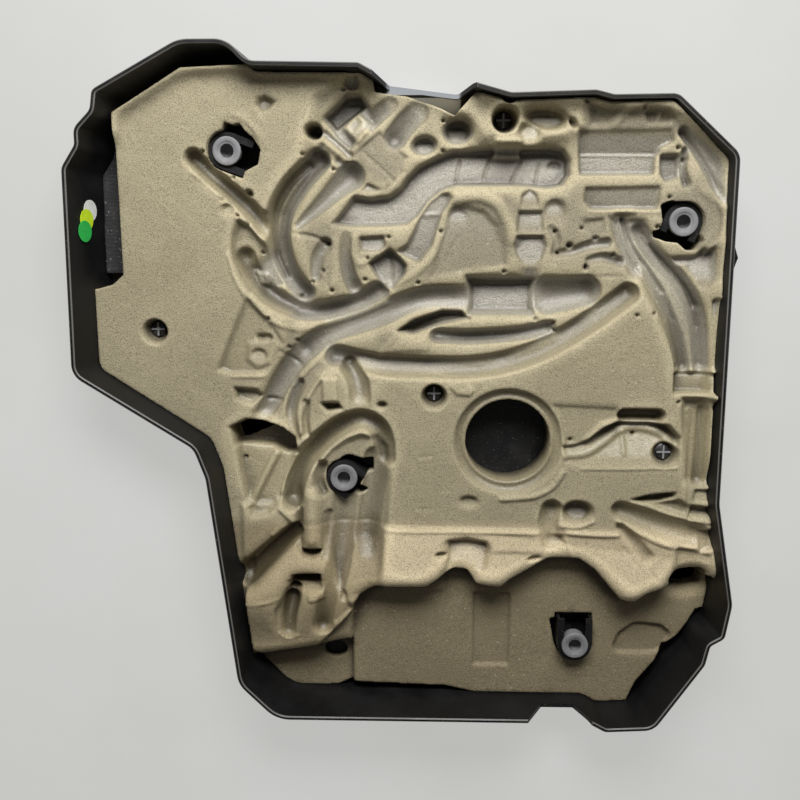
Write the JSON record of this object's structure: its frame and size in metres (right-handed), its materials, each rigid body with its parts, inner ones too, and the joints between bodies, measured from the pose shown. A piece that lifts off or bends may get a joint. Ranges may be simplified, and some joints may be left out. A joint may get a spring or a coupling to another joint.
{
  "type": "engine cover",
  "caption": "Shallow moulded engine cover seen from below: a black tray with a pressed foam pad, rubber ball-stud grommets, push-on retainers and a filler opening.",
  "frame": {"origin": "middle of the bounding box on the plane that the outer face lies on", "axes": "+X right and +Y up as the foam side is looked at, +Z out of the foam side"},
  "size_m": [0.4753, 0.4957, 0.052],
  "materials": {
    "cover_shell": "fine moulded grain",
    "foam_pad": "moulded polyurethane foam skin",
    "seal_strip": "closed-cell foam",
    "grommet": "satin rubber",
    "retainer": "satin",
    "dot_white": "satin sticker",
    "dot_yellow": "satin sticker",
    "dot_green": "satin sticker"
  },
  "bodies": {
    "root": {"cover_shell": "cover_shell", "foam_pad": "foam_pad", "seal_strip": "seal_strip", "grommet_top_left": "grommet", "grommet_right": "grommet", "grommet_middle": "grommet", "grommet_bottom": "grommet", "retainer_top": "retainer", "retainer_left": "retainer", "retainer_centre": "retainer", "retainer_right": "retainer", "inspection_dot_white": "dot_white", "inspection_dot_yellow": "dot_yellow", "inspection_dot_green": "dot_green"}
  },
  "joints": []
}
